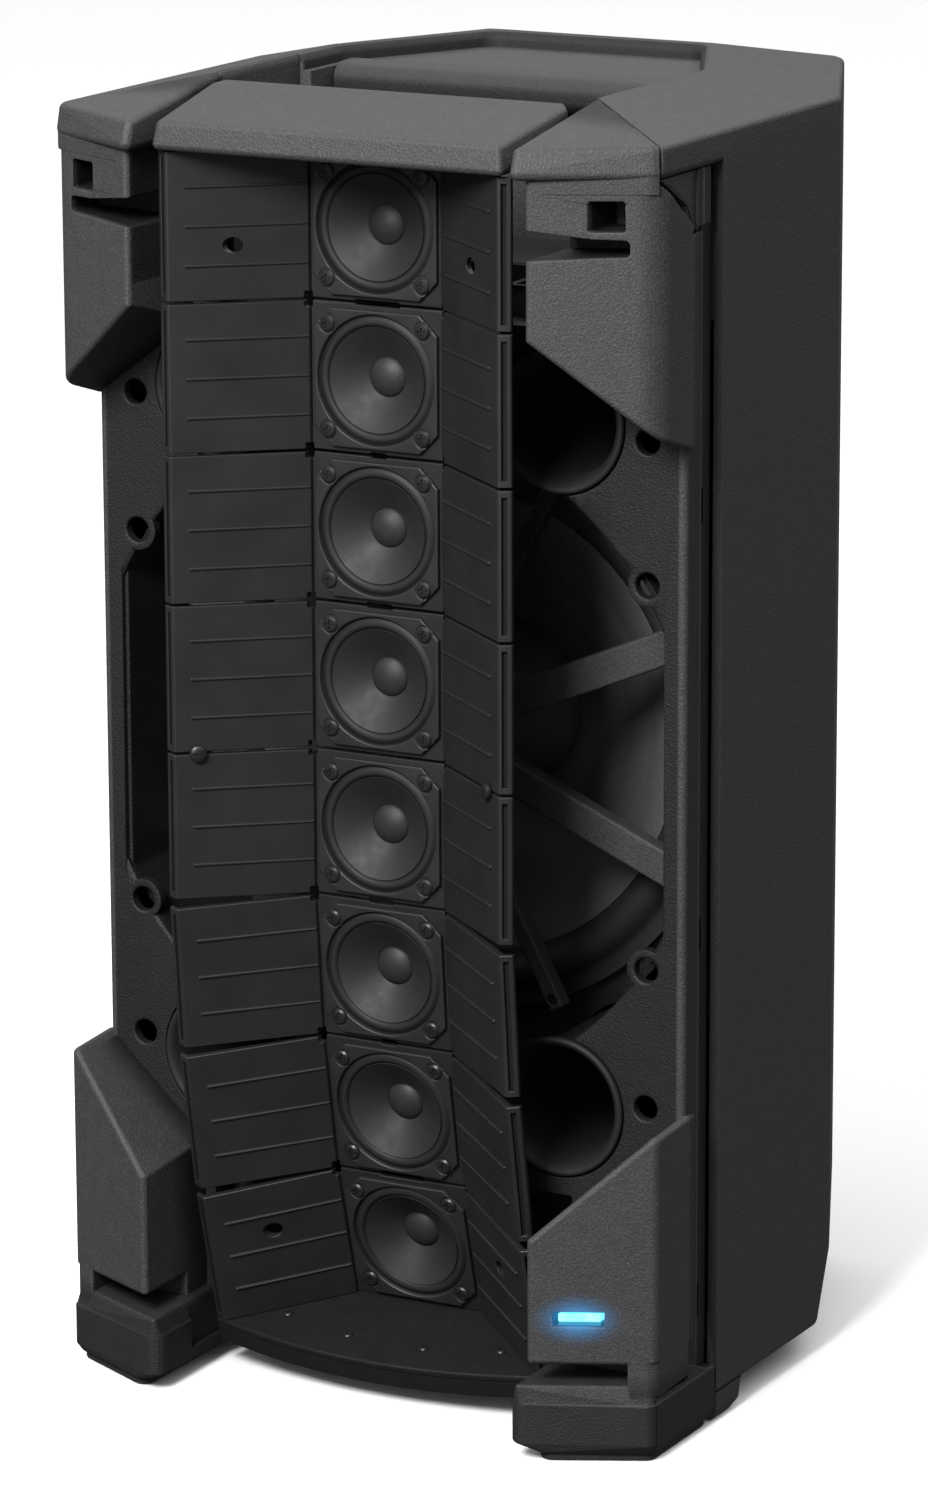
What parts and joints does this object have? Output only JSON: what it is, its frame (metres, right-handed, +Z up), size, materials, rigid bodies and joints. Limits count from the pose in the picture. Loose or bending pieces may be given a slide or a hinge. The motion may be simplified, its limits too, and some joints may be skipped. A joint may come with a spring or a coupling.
{
  "type": "portable flexible array loudspeaker",
  "caption": "Portable powered PA loudspeaker with a column of hinged driver modules that bends, in front of a woofer, in a moulded cabinet with handle recess and feet.",
  "frame": {"origin": "centre of the bounding box footprint, on the floor", "axes": "+Z up, -Y towards the listener (front), +X to the right seen from the front"},
  "size_m": [0.3356, 0.373, 0.6655],
  "materials": {
    "cabinet_plastic": "pebble textured black moulding",
    "array_plastic": "smooth satin black",
    "driver_frame": "satin black",
    "cone": "dark grey paper cone",
    "rubber": "matt black rubber",
    "dark_metal": "black powder coat",
    "steel": "black zinc plated",
    "status_light": "lit cyan lens",
    "circuit_board": "green circuit board",
    "control_plastic": "satin black"
  },
  "bodies": {
    "cabinet": {"amplifier_board": "circuit_board", "amplifier_panel": "dark_metal", "array_bracket": "cabinet_plastic", "array_clip_left": "steel", "array_clip_right": "steel", "driver_frame_4": "driver_frame", "driver_frame_5": "driver_frame", "front_baffle": "cabinet_plastic", "heat_sink": "dark_metal", "input_jack_1": "control_plastic", "input_jack_2": "control_plastic", "module_housing_4": "array_plastic", "module_housing_5": "array_plastic", "pole_socket": "cabinet_plastic", "port_tube_lower_left": "cabinet_plastic", "port_tube_lower_right": "cabinet_plastic", "port_tube_upper_left": "cabinet_plastic", "port_tube_upper_right": "cabinet_plastic", "power_inlet": "control_plastic", "rear_cabinet": "cabinet_plastic", "rubber_foot_front_left": "rubber", "rubber_foot_front_right": "rubber", "rubber_foot_rear_left": "rubber", "rubber_foot_rear_right": "rubber", "side_foot_left": "cabinet_plastic", "side_foot_right": "cabinet_plastic", "status_light": "status_light", "top_handle": "cabinet_plastic", "woofer_basket": "dark_metal", "woofer_magnet": "dark_metal", "woofer_surround": "rubber"},
    "module_1": {"module_housing_1": "array_plastic", "driver_frame_1": "driver_frame", "array_top_lip": "cabinet_plastic"},
    "module_8": {"module_housing_8": "array_plastic", "driver_frame_8": "driver_frame", "array_bottom_plate": "cabinet_plastic"},
    "module_2": {"module_housing_2": "array_plastic", "driver_frame_2": "driver_frame"},
    "module_3": {"module_housing_3": "array_plastic", "driver_frame_3": "driver_frame"},
    "module_6": {"module_housing_6": "array_plastic", "driver_frame_6": "driver_frame"},
    "module_7": {"module_housing_7": "array_plastic", "driver_frame_7": "driver_frame"},
    "cone_1": {"driver_cone_1": "cone"},
    "cone_2": {"driver_cone_2": "cone"},
    "cone_3": {"driver_cone_3": "cone"},
    "cone_4": {"driver_cone_4": "cone"},
    "cone_5": {"driver_cone_5": "cone"},
    "cone_6": {"driver_cone_6": "cone"},
    "cone_7": {"driver_cone_7": "cone"},
    "cone_8": {"driver_cone_8": "cone"},
    "woofer_cone": {"woofer_cone": "cone"},
    "knob_1": {"level_knob_1": "control_plastic"},
    "knob_2": {"level_knob_2": "control_plastic"},
    "switch": {"power_switch": "control_plastic"},
    "button": {"preset_button": "control_plastic"}
  },
  "joints": [
    {"name": "upper_bend_1", "type": "hinge", "parent": "cabinet", "child": "module_3", "pos_m": [0, -0.1235, 0.4105], "axis": [-1, 0, 0], "range_deg": [0, 5]},
    {"name": "upper_bend_2", "type": "hinge", "parent": "module_3", "child": "module_2", "pos_m": [0, -0.1235, 0.486], "axis": [-1, 0, 0], "range_deg": [0, 5]},
    {"name": "upper_bend_3", "type": "hinge", "parent": "module_2", "child": "module_1", "pos_m": [0, -0.1235, 0.5615], "axis": [-1, 0, 0], "range_deg": [0, 5]},
    {"name": "lower_bend_1", "type": "hinge", "parent": "cabinet", "child": "module_6", "pos_m": [0, -0.1235, 0.2595], "axis": [1, 0, 0], "range_deg": [-5, 0]},
    {"name": "lower_bend_2", "type": "hinge", "parent": "module_6", "child": "module_7", "pos_m": [0, -0.11692, 0.18429], "axis": [1, 0, 0], "range_deg": [-5, 0]},
    {"name": "lower_bend_3", "type": "hinge", "parent": "module_7", "child": "module_8", "pos_m": [0, -0.10381, 0.10993], "axis": [1, 0, 0], "range_deg": [-5, 0]},
    {"name": "driver_travel_1", "type": "slide", "parent": "module_1", "child": "cone_1", "axis": [0, -1, 0], "range_m": [-0.0012, 0.0012], "stiffness_N_per_m": 700},
    {"name": "driver_travel_2", "type": "slide", "parent": "module_2", "child": "cone_2", "axis": [0, -1, 0], "range_m": [-0.0012, 0.0012], "stiffness_N_per_m": 700},
    {"name": "driver_travel_3", "type": "slide", "parent": "module_3", "child": "cone_3", "axis": [0, -1, 0], "range_m": [-0.0012, 0.0012], "stiffness_N_per_m": 700},
    {"name": "driver_travel_4", "type": "slide", "parent": "cabinet", "child": "cone_4", "axis": [0, -1, 0], "range_m": [-0.0012, 0.0012], "stiffness_N_per_m": 700},
    {"name": "driver_travel_5", "type": "slide", "parent": "cabinet", "child": "cone_5", "axis": [0, -1, 0], "range_m": [-0.0012, 0.0012], "stiffness_N_per_m": 700},
    {"name": "driver_travel_6", "type": "slide", "parent": "module_6", "child": "cone_6", "axis": [0, -0.9962, -0.0872], "range_m": [-0.0012, 0.0012], "stiffness_N_per_m": 700},
    {"name": "driver_travel_7", "type": "slide", "parent": "module_7", "child": "cone_7", "axis": [0, -0.9848, -0.1736], "range_m": [-0.0012, 0.0012], "stiffness_N_per_m": 700},
    {"name": "driver_travel_8", "type": "slide", "parent": "module_8", "child": "cone_8", "axis": [0, -0.9659, -0.2588], "range_m": [-0.0012, 0.0012], "stiffness_N_per_m": 700},
    {"name": "woofer_travel", "type": "slide", "parent": "cabinet", "child": "woofer_cone", "axis": [0, -1, 0], "range_m": [-0.006, 0.006], "stiffness_N_per_m": 3000},
    {"name": "knob_turn_1", "type": "hinge", "parent": "cabinet", "child": "knob_1", "pos_m": [0.01, 0.1815, 0.42], "axis": [0, -1, 0], "range_deg": [-150, 150]},
    {"name": "knob_turn_2", "type": "hinge", "parent": "cabinet", "child": "knob_2", "pos_m": [0.01, 0.1815, 0.37], "axis": [0, -1, 0], "range_deg": [-150, 150]},
    {"name": "switch_rock", "type": "hinge", "parent": "cabinet", "child": "switch", "pos_m": [0.031, 0.1755, 0.134], "axis": [1, 0, 0], "range_deg": [0, 14]},
    {"name": "button_press", "type": "slide", "parent": "cabinet", "child": "button", "axis": [0, -1, 0], "range_m": [0, 0.0015], "stiffness_N_per_m": 700}
  ],
  "couplings": [
    {"joint": "upper_bend_2", "follows": "upper_bend_1", "ratio": 1},
    {"joint": "upper_bend_3", "follows": "upper_bend_1", "ratio": 1},
    {"joint": "lower_bend_2", "follows": "lower_bend_1", "ratio": 1},
    {"joint": "lower_bend_3", "follows": "lower_bend_1", "ratio": 1}
  ]
}
